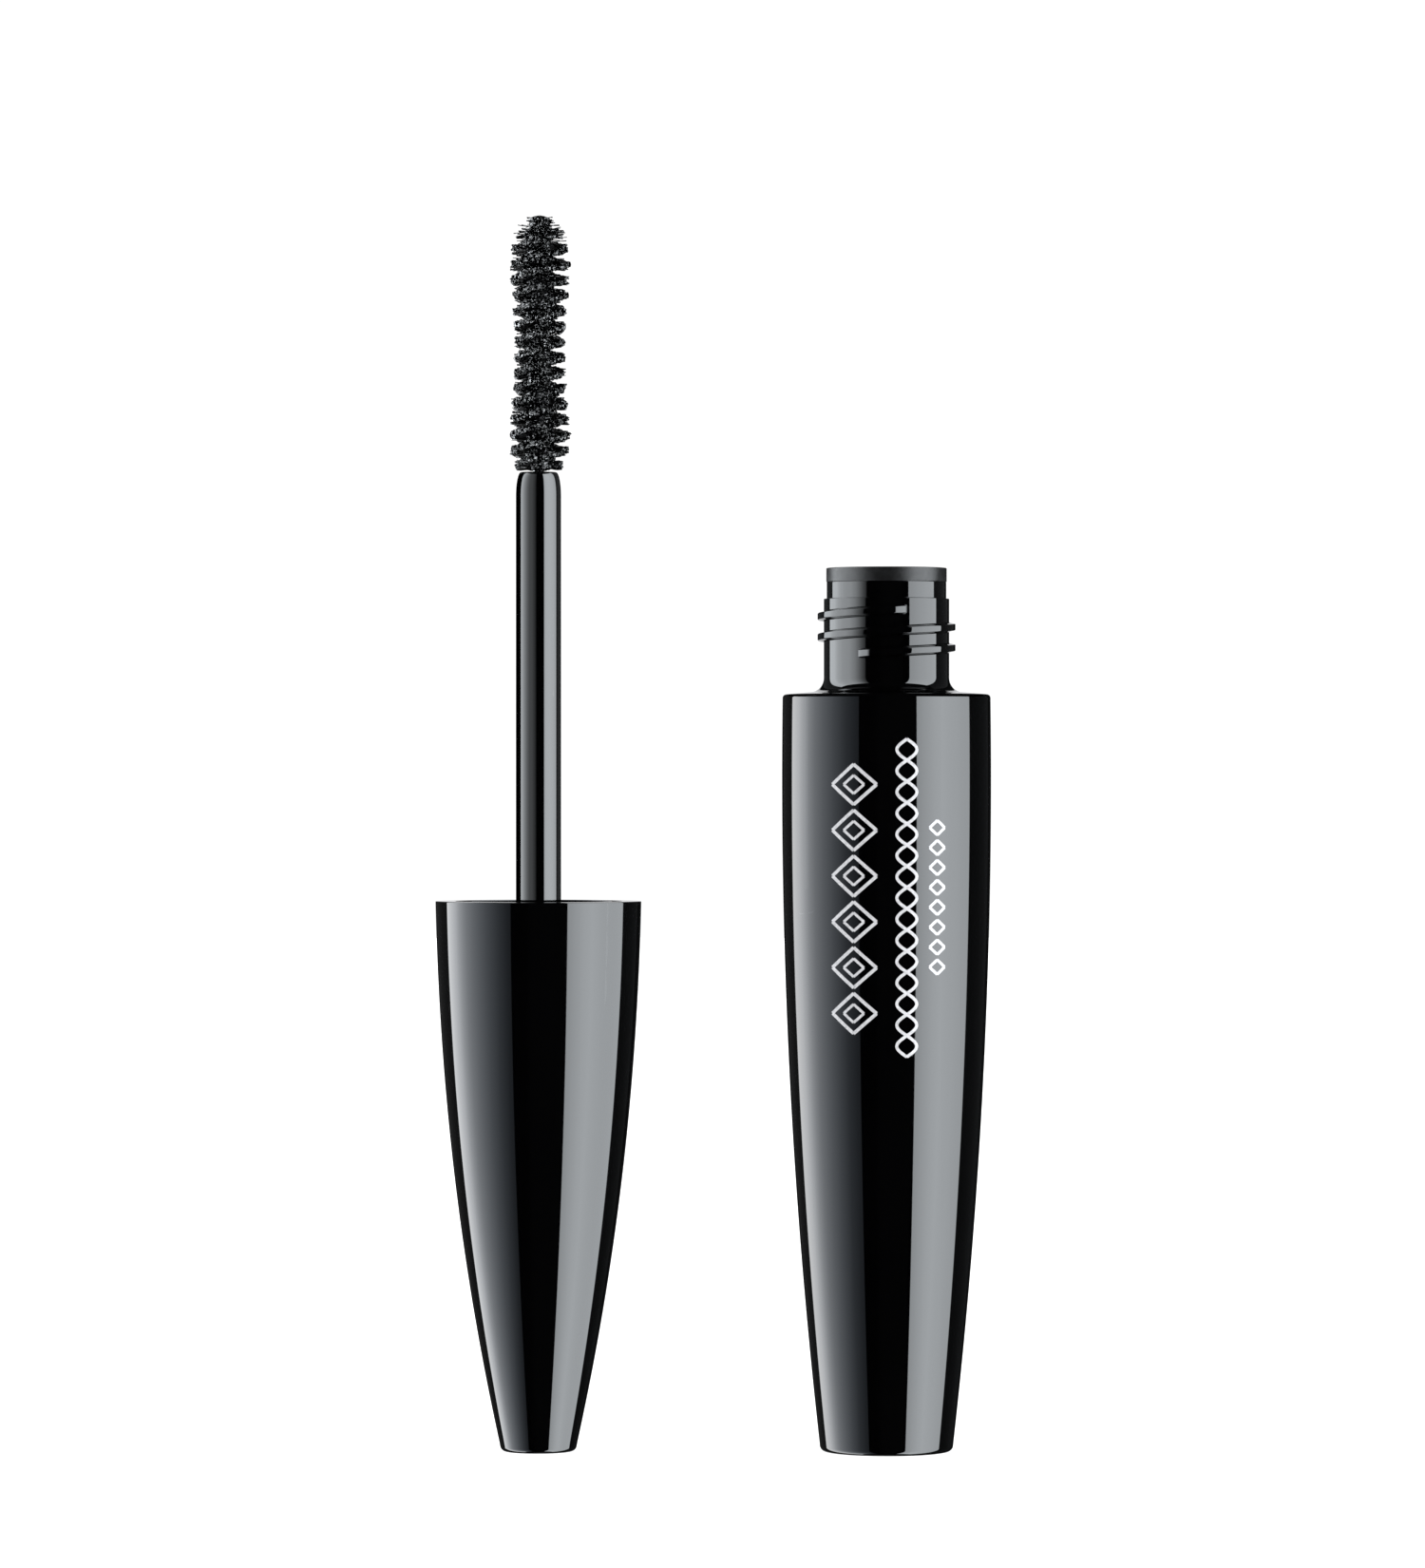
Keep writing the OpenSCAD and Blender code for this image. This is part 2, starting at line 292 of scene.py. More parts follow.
def coated_fibre():
    """Black nylon fibre, dry at its tip and coated with paste nearer the wire."""
    m = Nodes("coated_fibre")
    m.set(IOR=1.5)
    coat = m.noise(3800, detail=4)
    m.feed(
        Base_Color=m.ramp(coat, [(0.35, (0.0001, 0.0001, 0.0001)), (0.65, (0.0008, 0.0007, 0.0008))]),
        Roughness=m.spread(m.noise(700, detail=2), 0.05, 0.3, start=0.42, end=0.62),
        Normal=m.bump(m.noise(2600, detail=1), 0.16, 0.8),
    )
    return m.material


def silver_print():
    """Hot-foil silver on the bottle: pale, slightly grainy and thin in places."""
    m = Nodes("silver_print")
    m.set(Metallic=0.25, IOR=1.5)
    grain = m.noise(5200, detail=5, roughness=0.7)
    m.feed(
        Base_Color=m.ramp(grain, [(0.3, (0.27, 0.27, 0.28)), (0.6, (0.47, 0.47, 0.48))]),
        Roughness=m.spread(grain, 0.38, 0.6),
        Normal=m.bump(grain, 0.006, 0.5),
    )
    return m.material


def label_film():
    """Satin silver film with a dark ring near its edge and a slight crinkle."""
    m = Nodes("label_film")
    m.set(Metallic=0.6)
    radius = m.add("ShaderNodeVectorMath", operation="LENGTH")
    flat = m.stretched((1, 1, 0))
    m.join(flat, radius.inputs[0])
    edge = m.spread(radius.outputs["Value"], 0, 1, start=0, end=LABEL_HIGH[0] * MM)
    silver, dark = (0.5, 0.5, 0.51), (0.05, 0.05, 0.055)
    stops = [(0.0, silver), (0.855, silver), (0.865, dark), (0.9, dark), (0.91, silver)]
    crinkle = m.noise(700, detail=4)
    m.feed(
        Base_Color=m.ramp(edge, stops),
        Roughness=m.spread(crinkle, 0.3, 0.5),
        Normal=m.bump(crinkle, 0.02, 0.5),
    )
    return m.material


GLOSS = gloss_black()
WIPER = satin_black("wiper_satin", (0.0008, 0.0008, 0.001), (0.002, 0.002, 0.0022), 0.38, 2400)
INNER = satin_black("inner_satin", (0.003, 0.003, 0.0032), (0.006, 0.006, 0.0062), 0.3, 1600)
SEAL = seal_rubber()
WIRE = drawn_steel()
WEIGHT = turned_steel()
PASTE = wet_paste()
FIBRE = coated_fibre()
SILVER = silver_print()
LABEL = label_film()

# ---------------------------------------------------------------- mesh helpers


def add_mesh(name, points, faces, material, normals=None):
    mesh = bpy.data.meshes.new(name)
    mesh.from_pydata((np.asarray(points) * MM).tolist(), [], faces)
    mesh.materials.append(material)
    mesh.polygons.foreach_set("use_smooth", [True] * len(mesh.polygons))
    if normals is not None:
        mesh.normals_split_custom_set_from_vertices(np.asarray(normals).tolist())
    mesh.update()
    obj = bpy.data.objects.new(name, mesh)
    SCENE.collection.objects.link(obj)
    return obj


# The pieces that each pair of light panels lights
lit_pieces = {"body": [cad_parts["base_label"]], "neck": [], "cap": [], "stem": [], "brush": []}


def place(obj, lit, body, slot=None, *nodes):
    """Hands a piece to its body and to the lights of one group, and hides the CAD nodes it stands in
    for.
    """
    lit_pieces[lit].append(obj)
    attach(obj, body)
    if nodes:
        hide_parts(*nodes)


def grid_faces(rows, columns):
    """Quads between rings of points, ring by ring."""
    faces = []
    for i in range(rows - 1):
        for k in range(columns):
            a, b = i * columns + k, i * columns + (k + 1) % columns
            faces.append((a, b, b + columns, a + columns))
    return faces


def tube_faces(first, rows, columns, flipped=False):
    """Faces of a closed tube of rings whose points start at index first: its side and two ends."""
    last = first + (rows - 1) * columns
    faces = [tuple(first + v for v in face) for face in grid_faces(rows, columns)]
    faces.append(tuple(range(first + columns - 1, first - 1, -1)))
    faces.append(tuple(range(last, last + columns)))
    return [face[::-1] for face in faces] if flipped else faces


def arc(x, z, r, start, end, steps=6):
    """Points of a circular arc about (x, z), with its angles in degrees."""
    angles = np.radians(np.linspace(start, end, steps + 1))
    return [(x + r * math.cos(t), z + r * math.sin(t)) for t in angles]


def eased(outline, radius, steps=4):
    """The outline with every corner sharper than 25 degrees rounded off."""
    points = [np.array(p, float) for p in outline]
    made = []
    count = len(points)
    for i, here in enumerate(points):
        before, after = points[i - 1], points[(i + 1) % count]
        back, ahead = before - here, after - here
        len_back, len_ahead = np.linalg.norm(back), np.linalg.norm(ahead)
        turn = math.acos(np.clip(np.dot(-back, ahead) / (len_back * len_ahead), -1, 1))
        on_axis = here[0] < 1e-6
        if on_axis or turn < math.radians(25):
            made.append(here)
            continue
        cut = min(radius * math.tan(turn / 2), 0.45 * len_back, 0.45 * len_ahead)
        start, end = here + back / len_back * cut, here + ahead / len_ahead * cut
        for t in np.linspace(0, 1, steps + 1):
            made.append((1 - t) ** 2 * start + 2 * t * (1 - t) * here + t**2 * end)
    return made


def lathe(name, outline, material, x=0.0, segments=224):
    """Turns a closed outline of (radius, height) about the vertical axis through x. The outline
    runs with the solid on its left."""
    pts = np.array(outline, float)
    count = len(pts)
    before, after = np.roll(pts, 1, axis=0), np.roll(pts, -1, axis=0)
    along = after - before
    side = np.stack([along[:, 1], -along[:, 0]], axis=1)
    side /= np.maximum(np.linalg.norm(side, axis=1, keepdims=True), 1e-9)
    points, normals, rings = [], [], []
    angles = np.linspace(0, 2 * math.pi, segments, endpoint=False)
    for (r, z), (nr, nz) in zip(pts, side):
        if r < 1e-6:
            rings.append([len(points)])
            points.append((x, 0, z))
            normals.append((0, 0, 1 if nz > 0 else -1))
            continue
        rings.append(list(range(len(points), len(points) + segments)))
        for t in angles:
            points.append((x + r * math.cos(t), r * math.sin(t), z))
            normals.append((nr * math.cos(t), nr * math.sin(t), nz))
    faces = []
    for i in range(count):
        low, high = rings[i], rings[(i + 1) % count]
        if len(low) == 1 and len(high) == 1:
            continue
        for k in range(segments):
            k2 = (k + 1) % segments
            ring = [low[k % len(low)], low[k2 % len(low)], high[k2 % len(high)], high[k % len(high)]]
            faces.append(tuple(dict.fromkeys(ring)))
    return add_mesh(name, points, faces, material, normals)


def screw_ridge(name, material, x, root_r, crest_r, root_w, crest_w, low_angle, low_z, turns):
    """Right-handed thread ridge with eased corners, ramped down to the wall at both ends."""
    outward = 1 if crest_r > root_r else -1
    reach = abs(crest_r - root_r)
    crest_half, edge_r = crest_w * 0.56, 0.1
    half_profile = [(-0.12, root_w * 0.72), (0.0, root_w * 0.6), (0.06, root_w * 0.52)]
    half_profile += [(reach - 0.16, crest_half)]
    half_profile += [(reach - edge_r + edge_r * math.sin(t), crest_half - edge_r + edge_r * math.cos(t))
                     for t in np.radians([20, 45, 70, 90])]
    profile = [(r, -w) for r, w in half_profile] + [(r, w) for r, w in reversed(half_profile)]
    steps = int(turns * 180)
    ramp_steps = 6
    points = []
    for i in range(steps + 1):
        height = min(1, i / ramp_steps, (steps - i) / ramp_steps)
        angle = math.radians(low_angle + 360 * turns * i / steps)
        z = low_z + THREAD_PITCH * turns * i / steps
        for depth, width in profile:
            rise = depth if depth < 0 else depth * height - 0.02 * (1 - height)
            r = root_r + outward * rise
            points.append((x + r * math.cos(angle), r * math.sin(angle), z + width * outward))
    return add_mesh(name, points, tube_faces(0, steps + 1, len(profile)), material)


# ---------------------------------------------------------------- bottle


def bottle_skin():
    """The bottle in three meshes, because the neck has lights of its own: body, neck, thread."""
    label_recess, label_recess_r = 0.2, 4.9
    corner = 1.5
    shoulder_fall = 0.2
    shoulder_edge = 0.35
    fillet = 1.4
    cavity_top = SHOULDER_Z - 3
    foot_r = bottle_side(BASE_EDGE_R) - BASE_EDGE_R
    top_r = bottle_side(SHOULDER_Z) - shoulder_edge
    top_z = SHOULDER_Z - shoulder_fall - shoulder_edge
    side_z = np.linspace(BASE_EDGE_R * 1.6, top_z, 60)
    inside_z = np.linspace(cavity_top, CAVITY_LOW, 40)
    outline = [(0, label_recess), (label_recess_r, label_recess), (label_recess_r, 0)]
    outline += arc(foot_r, BASE_EDGE_R, BASE_EDGE_R, -90, -6, 8)
    outline += [(bottle_side(z), z) for z in side_z]
    outline += arc(top_r, top_z, shoulder_edge, 8, 86, 8)
    outline += [(NECK_R + fillet, SHOULDER_Z), (NECK_BORE_R, SHOULDER_Z)]
    outline += [(bottle_side(z) - BOTTLE_WALL, z) for z in inside_z]
    outline += [(bottle_side(CAVITY_LOW) - BOTTLE_WALL - corner, BOTTLE_FLOOR), (0, BOTTLE_FLOOR)]
    skin = lathe("bottle_skin", eased(outline, 0.06), GLOSS)
    skin.visible_glossy = False  # so that the wand doesn't mirror it
    place(skin, "body", "bottle", "gloss_black", "bottle")
    sunk = SHOULDER_Z - 0.3
    outline = [(NECK_BORE_R, sunk), (NECK_R + 0.8, sunk)]
    outline += arc(NECK_R + fillet, SHOULDER_Z + fillet, fillet, 270, 180, 14)
    outline += [(NECK_R, LAND_Z), (LAND_R, LAND_Z), (LAND_R, NECK_RIM_Z), (NECK_BORE_R, NECK_RIM_Z)]
    skin = lathe("neck_skin", eased(outline, 0.06), GLOSS)
    place(skin, "neck", "bottle", "gloss_black", "bottle")
    low_angle = NECK_THREAD_TOP_ANGLE - 360 * NECK_THREAD_TURNS
    low_z = NECK_THREAD_TOP - THREAD_PITCH * NECK_THREAD_TURNS
    ridge = screw_ridge("neck_thread", GLOSS, 0, NECK_R, NECK_CREST_R, 0.85, 0.6,
                        low_angle, low_z, NECK_THREAD_TURNS)
    place(ridge, "neck", "bottle", "gloss_black")


def wiper_skin():
    lip_low, lip_t, lip_outer_r = WIPER_LOW[2], 1.2, 3.0
    flange_r, _, top = WIPER_HIGH
    outline = [(WIPER_LIP_R, lip_low), (lip_outer_r, lip_low), (NECK_BORE_R, FUNNEL_Z),
               (NECK_BORE_R, NECK_RIM_Z), (flange_r, NECK_RIM_Z), (flange_r, top),
               (WIPER_BORE_R, top), (WIPER_BORE_R, FUNNEL_Z + 0.5), (WIPER_LIP_R, lip_low + lip_t)]
    skin = lathe("wiper_skin", eased(outline, 0.1), WIPER)
    place(skin, "neck", "bottle", "wiper_black", "wiper")


def smear_on_wiper():
    """Paste left inside the wiper's funnel, thick in some places and wiped thin in others."""
    rows, columns = 26, 96
    low, high = 72.6, 80.8
    funnel_low, funnel_high = 72.2, FUNNEL_Z + 0.5
    points = []
    for i in range(rows):
        u = i / (rows - 1)
        z = low + u * (high - low)
        up_funnel = min(1, (z - funnel_low) / (funnel_high - funnel_low))
        wall = WIPER_LIP_R + (WIPER_BORE_R - WIPER_LIP_R) * up_funnel
        for k in range(columns):
            t = 2 * math.pi * k / columns
            spot = Vector((math.cos(t) * 1.3, math.sin(t) * 1.3, z * 0.45))
            film = 0.26 + 0.5 * noise.fractal(spot, 1.0, 2.0, 4) - 0.34 * u
            edge = min(u, 1 - u) * 8
            thick = max(-0.06, min(film, edge * 0.3, 0.42))
            points.append(((wall - thick) * math.cos(t), (wall - thick) * math.sin(t), z))
    obj = add_mesh("wiper_smear", points, grid_faces(rows, columns), PASTE)
    solid = obj.modifiers.new("thickness", "SOLIDIFY")
    solid.thickness = 0.08 * MM
    solid.offset = 0
    place(obj, "neck", "bottle", "mascara")


def mascara_paste():
    """The paste in the bottle: it lines the wall, and the brush has left a rough channel."""
    low, top = PASTE_LOW[2], PASTE_HIGH[2]
    channel_low, channel_r = 5.2, 3.75
    columns = 96
    outer = [(bottle_side(z) - BOTTLE_WALL - 0.02, z) for z in np.linspace(low, top - 0.3, 24)]
    inner = [(channel_r, z) for z in np.linspace(top - 1.2, channel_low + 1, 90)]
    outline = outer + [(7.8, top), (6.4, top - 0.15), (5.0, top - 0.5), (4.2, top - 0.8)] + inner
    outline += [(3.2, channel_low + 0.2), (1.8, channel_low), (0.02, channel_low)]
    points = []
    for i, (r, z) in enumerate([(0.02, low)] + outline):
        for k in range(columns):
            t = 2 * math.pi * k / columns
            ridge = 0.0
            if i > len(outer):
                spot = Vector((math.cos(t) * r * 0.8, math.sin(t) * r * 0.8, z * 0.7))
                ridge = 0.34 * noise.fractal(spot, 0.9, 2.1, 5)
                ridge += 0.1 * math.sin(2 * (t - 2 * math.pi * z / TWIST_PITCH))
            reach = max(0.01, r - max(-0.35, min(0.35, ridge)) * (1 if r > 1 else 0))
            points.append((reach * math.cos(t), reach * math.sin(t), z + 0.3 * ridge))
    obj = add_mesh("mascara_paste", points, tube_faces(0, len(outline) + 1, columns), PASTE)
    place(obj, "neck", "bottle", "mascara", "mascara_fill")


def on_bottle(u, z, lift):
    """The point lift mm off the bottle's side, u mm round from the front and z mm up."""
    r = bottle_side(z)
    t = u / r
    return ((r + lift) * math.sin(t), -(r + lift) * math.cos(t), z)


def foil_stroke(points, faces, path, width):
    """Adds a thin raised foil strip along a path of (u, z) points."""
    lift, depth = 0.02, -0.02
    first = len(points)
    path = [np.array(p, float) for p in path]
    for i, here in enumerate(path):
        along = path[min(i + 1, len(path) - 1)] - path[max(i - 1, 0)]
        along = along / np.linalg.norm(along)
        side = np.array([-along[1], along[0]]) * width / 2
        for offset, height in ((side, depth), (side, lift), (-side, lift), (-side, depth)):
            u, z = here + offset
            points.append(on_bottle(u, z, height))
    faces += tube_faces(first, len(path), 4, flipped=True)


def foil_ornament():
    """A plain silver ornament up the front of the bottle, without letters: a column of double
    lozenges, a two-strand braid and a short column of small lozenges."""
    points, faces = [], []

    def straight(start, end, width):
        start, end = np.array(start, float), np.array(end, float)
        foil_stroke(points, faces, [start + (end - start) * t / 3 for t in range(4)], width)

    def strand(u, low, high, half_waves, swing, width):
        shares = np.linspace(0, 1, half_waves * 14 + 1)
        path = [(u + swing * math.sin(math.pi * half_waves * t), low + (high - low) * t) for t in shares]
        foil_stroke(points, faces, path, width)

    def lozenge(u, z, half_u, half_z, width):
        corners = [(u, z + half_z), (u + half_u, z), (u, z - half_z), (u - half_u, z)]
        for a, b in zip(corners, corners[1:] + corners[:1]):
            straight(a, b, width)

    def row(u, low, high, count, motif):
        pitch = (high - low) / count
        for i in range(count):
            motif(u, low + pitch * (i + 0.5), pitch)

    def double_lozenge(u, z, pitch):
        lozenge(u, z, 2.3, pitch * 0.44, 0.33)
        lozenge(u, z, 1.05, pitch * 0.2, 0.26)

    def small_lozenge(u, z, pitch):
        lozenge(u, z, 0.85, pitch * 0.37, 0.28)

    left_u, middle_u, right_u = -3.5, 1.78, 4.95
    row(left_u, 41.4, 68.3, 6, double_lozenge)
    strand(middle_u, 39.4, 70.5, 15, 1.0, 0.3)
    strand(middle_u, 39.4, 70.5, 15, -1.0, 0.3)
    row(right_u, 47.2, 62.8, 8, small_lozenge)
    obj = add_mesh("foil_ornament", points, faces, SILVER)
    obj.data.polygons.foreach_set("use_smooth", [False] * len(obj.data.polygons))
    place(obj, "body", "bottle")


# ---------------------------------------------------------------- cap and stem


def cap_skin():
    floor, hollow_low, hollow_high = 1.8, 28, 32
    pocket_r, pocket_low, pocket_high = 4, 10, 14
    foot_r = cap_side(BASE_EDGE_R) - BASE_EDGE_R
    mouth_r = cap_side(CAP_H)
    side_z = np.linspace(BASE_EDGE_R * 1.4, CAP_H, 70)
    outline = [(0, 0)] + arc(foot_r, BASE_EDGE_R, BASE_EDGE_R, -90, -14, 8)
    outline += [(cap_side(z), z) for z in side_z]
    outline += [(INNER_R, CAP_H), (INNER_R, INNER_STEP_Z), (INNER_FOOT_R, INNER_STEP_Z),
                (INNER_FOOT_R, INNER_LOW[2])]
    outline += [(cap_side(z) - CAP_WALL, z) for z in (hollow_high, hollow_low)]
    outline += [(pocket_r, pocket_high), (pocket_r, pocket_low),
                (cap_side(floor) - CAP_WALL, floor), (0, floor)]
    skin = lathe("cap_skin", eased(outline, 0.1), GLOSS, WAND_X)
    skin.visible_glossy = False  # so that the bottle doesn't mirror it
    place(skin, "cap", "wand", "gloss_black", "cap_shell")


def inner_cap_skin():
    top, foot = INNER_HIGH[2], INNER_LOW[2]
    entry_r, entry_low, entry_high = 7.4, CAP_H - 4, CAP_H - 3.6
    outer_r, foot_r = INNER_R - 0.01, INNER_FOOT_R - 0.01
    skirt_r, boss_r, web_z = INNER_FOOT_R - 1.2, 4.2, INNER_ROOF_Z - 2
    outline = [(STEM_R, INNER_ROOF_Z), (CAP_BORE_R, INNER_ROOF_Z), (CAP_BORE_R, entry_low),
               (entry_r, entry_high), (entry_r, top), (outer_r, top), (outer_r, INNER_STEP_Z),
               (foot_r, INNER_STEP_Z), (foot_r, foot), (skirt_r, foot), (skirt_r, web_z),
               (boss_r, web_z), (boss_r, foot), (STEM_HEAD_R, foot),
               (STEM_HEAD_R, STEM_HEAD_TOP), (STEM_R, STEM_HEAD_TOP)]
    skin = lathe("inner_cap_skin", eased(outline, 0.15), INNER, WAND_X)
    place(skin, "cap", "wand", "inner_black", "inner_cap")
    # The cap's ridge lies against the neck's when the wand is turned over and screwed on
    overlap, play = 0.65, 0.1
    neck_zero = NECK_THREAD_TOP - THREAD_PITCH * NECK_THREAD_TOP_ANGLE / 360
    cap_zero = CAP_H + SHOULDER_Z + CLOSED_GAP - THREAD_PITCH / 2 - neck_zero + overlap + play
    low_angle = 360 * (CAP_THREAD_LOW - cap_zero) / THREAD_PITCH
    ridge = screw_ridge("cap_thread", INNER, WAND_X, CAP_BORE_R, CAP_CREST_R, 0.72, 0.5,
                        low_angle, CAP_THREAD_LOW, 2)
    place(ridge, "cap", "wand", "inner_black")


def ring_skin(name, low, high, bore_r, edge_r, steps, material):
    """A ring on the wand's axis that fills the CAD box from low to high."""
    outer = high[0] - WAND_X
    outline = [(bore_r, low[2]), (outer, low[2]), (outer, high[2]), (bore_r, high[2])]
    return lathe(name, eased(outline, edge_r, steps), material, WAND_X)


def seal_skin():
    skin = ring_skin("seal_skin", SEAL_LOW, SEAL_HIGH, STEM_R + 0.05, 0.2, 4, SEAL)
    place(skin, "cap", "lift", "seal", "seal_ring")


def weight_skin():
    skin = ring_skin("weight_skin", WEIGHT_LOW, WEIGHT_HIGH, 1.4, 0.4, 3, WEIGHT)
    place(skin, "cap", "advance", "weight", "cap_weight")


def stem_skin():
    foot = STEM_LOW[2]
    tip_l, tip_r = 2.35, 1.74
    tip = [(tip_r + (STEM_R - tip_r) * math.cos(t), STEM_TOP - tip_l + tip_l * math.sin(t))
           for t in np.linspace(0, math.pi / 2, 14)]
    outline = [(STEM_BORE_R, foot), (STEM_HEAD_R, foot), (STEM_HEAD_R, STEM_HEAD_TOP),
               (STEM_R, STEM_HEAD_TOP)] + tip + [(STEM_BORE_R, STEM_TOP)]
    skin = lathe("stem_skin", eased(outline, 0.08), GLOSS, WAND_X, segments=128)
    place(skin, "stem", "wand", "gloss_black", "stem")


# ---------------------------------------------------------------- twisted wire


def twist_angle(z):
    """Azimuth of the first bristle row at height z."""
    return 2 * math.pi * (z - FIRST_ROW_Z) / TWIST_PITCH


def twisted_pair(name, body, node, low, top):
    """Two wires twisted round each other between two heights."""
    strand_r = WIRE_R / 2
    sides = 10
    steps = max(8, int((top - low) / TWIST_PITCH * 40))
    points, faces = [], []
    for strand in range(2):
        first = len(points)
        for i in range(steps + 1):
            z = low + (top - low) * i / steps
            turn = twist_angle(z) + math.pi * (strand + 0.5)
            cx, cy = strand_r * math.cos(turn), strand_r * math.sin(turn)
            end = math.sqrt(max(0.05, 1 - max(0, 1 - min(i, steps - i) / 3) ** 2))
            for k in range(sides):
                t = 2 * math.pi * k / sides
                r = strand_r * 0.98 * end
                points.append((WAND_X + cx + r * math.cos(t), cy + r * math.sin(t), z))
        faces += tube_faces(first, steps + 1, sides)
    place(add_mesh(name, points, faces, WIRE), "brush", body, "wire", node)


# ---------------------------------------------------------------- brush


def brush_envelope(z):
    """Radius that the bristles reach at height z: full, waist, full, then a rounded tip."""
    waist_z, waist_l, tip_z, tip_l = 109, 16.4, 117.6, 5.0
    wave = 0.5 - 0.5 * math.cos(2 * math.pi * (min(z, waist_z + waist_l / 2) - waist_z) / waist_l)
    middle = BRUSH_WAIST_R + (BRUSH_R - BRUSH_WAIST_R) * wave**1.5
    foot = min(1, max(0.72, 0.72 + 0.28 * (z - BRUSH_FOOT) / 1.2))
    tip = math.sqrt(min(1, max(0.04, 1 - (max(0, z - tip_z) / tip_l) ** 2)))
    return middle * foot * tip


def on_brush(r, angle, z):
    """A point of the brush, which stands a little off the stem's axis, as a bent wire does."""
    lean = 0.12 * min(1, max(0, (z - BRUSH_FOOT) / 3))
    return (WAND_X + lean + r * math.cos(angle), r * math.sin(angle), z)


def paste_amount(z):
    """Share of the full load of paste: nearly bare at the very tip, heavy further down."""
    bare_z, fade = 121.2, 1.6
    return float(np.clip((bare_z - z) / fade, 0.2, 1))


def fractal(x, y, z, octaves=4):
    return noise.fractal(Vector((x, y, z)), 0.8, 2.1, octaves)


def paste_core(points, faces):
    """Lumpy paste that fills the middle of the brush."""
    low, top = BRUSH_FOOT + 0.05, BRUSH_TOP + 0.05
    rows, columns = 330, 40
    first = len(points)
    for i in range(rows):
        z = low + (top - low) * i / (rows - 1)
        ends = math.sqrt(max(0.02, 1 - max(0, 1 - (z - low) / 0.5, 1 - (top - z) / 0.6) ** 2))
        turn = twist_angle(z)
        for k in range(columns):
            t = 2 * math.pi * k / columns
            x, y = math.cos(t), math.sin(t)
            arms = 0.12 * math.cos(2 * (t - turn))
            lumps = 0.5 * fractal(x * 4.1, y * 4.1, z * 3.3, 5)
            r = (1.14 + arms + lumps) * ends * (0.75 + 0.25 * paste_amount(z))
            points.append(on_brush(r, t, z))
    faces += tube_faces(first, rows, columns)


def paste_fin(points, faces, arm):
    """One of the two spiral rows of bristles, matted with paste into a thick ragged fin."""
    low, top = BRUSH_FOOT + 0.35, BRUSH_TOP - 0.5
    stations = 1300
    blunt = [(0.5, 1.0), (1.1, 1.0), (1.7, 1.0), (2.15, 0.97), (2.4, 0.9), (2.56, 0.7), (2.6, 0.25)]
    across = [(r, -side) for r, side in blunt] + [(r, side) for r, side in reversed(blunt)]
    columns = len(across)
    first = len(points)
    for i in range(stations):
        z = low + (top - low) * i / (stations - 1)
        turn = twist_angle(z) + arm
        ends = max(0.1, min(1, i / 20, (stations - 1 - i) / 20))
        load = paste_amount(z)
        reach = brush_envelope(z) / BRUSH_R * (0.62 + 0.38 * load)
        ragged = 0.2 * fractal(z * 6.5, arm * 7, 1.7, 3)
        half = 0.31 * (0.3 + 0.7 * load) * ends
        for r0, side in across:
            r = r0 * reach * (1 + ragged * min(1, r0 / 2.5))
            x, y = r * math.cos(turn), r * math.sin(turn)
            bite = 1 + 1.0 * fractal(x * 3.3, y * 3.3, z * 3.3 + 9 * side, 2)
            x, y, _ = on_brush(r, turn, z)
            points.append((x, y, z + side * half * min(1.5, max(0.2, bite))))
    faces += tube_faces(first, stations, columns)


def fibre(points, faces, path, widths, sides=5):
    """One bristle: a thin tube of lumpy width with a blunt end."""
    first = len(points)
    path = np.array(path)
    for i, here in enumerate(path):
        along = path[min(i + 1, len(path) - 1)] - path[max(i - 1, 0)]
        along /= np.linalg.norm(along)
        across = np.cross(along, (0, 0, 1))
        across /= np.linalg.norm(across)
        up = np.cross(across, along)
        for k in range(sides):
            t = 2 * math.pi * k / sides
            points.append(tuple(here + widths[i] * (across * math.cos(t) + up * math.sin(t))))
    faces += tube_faces(first, len(path), sides, flipped=True)


def fibres(points, faces, rng):
    """The bristles: two spiral rows, spread a little in height, with blunt coated ends."""
    count = 850
    low, top = BRUSH_FOOT + 0.5, BRUSH_TOP - 0.2
    for arm in (0, math.pi):
        for i in range(count):
            z0 = low + (top - low) * (i + rng.uniform(-0.5, 0.5)) / count
            load = paste_amount(z0)
            if load < 0.9 and rng.uniform() > 0.45 + 0.5 * load:
                continue
            clump = 0.16 * fractal(z0 * 5.3, arm * 3, 5.1, 3)
            turn = twist_angle(z0) + arm + clump + rng.normal(0, 0.05)
            shift = rng.uniform(-0.38, 0.38) + 0.1 * fractal(z0 * 6.1, arm * 3, 2.4, 2)
            sweep = rng.normal(0, 0.06) + 0.2 * fractal(z0 * 4.7, arm * 3, 9.3, 3)
            rise = rng.normal(0, 0.06)
            reach = 0.99 * brush_envelope(z0) - min(0.6, abs(rng.normal(0, 0.17)))
            coat = 0.05 + 0.07 * load * rng.uniform(0.1, 1.0)
            path, widths = [], []
            for u in (0, 0.35, 0.7, 0.93, 1):
                r = 0.6 + (reach - 0.6) * u
                a = turn + sweep * u * u
                z = min(BRUSH_TOP - 0.1, max(BRUSH_FOOT + 0.1, z0 + shift * min(1, 2 * u) + rise * u))
                path.append(on_brush(r, a, z))
                widths.append(max(0.03, coat * (1 + 0.5 * rng.uniform(-1, 1))))
            widths[-1] = max(0.035, 0.8 * widths[-1])
            fibre(points, faces, path, widths)


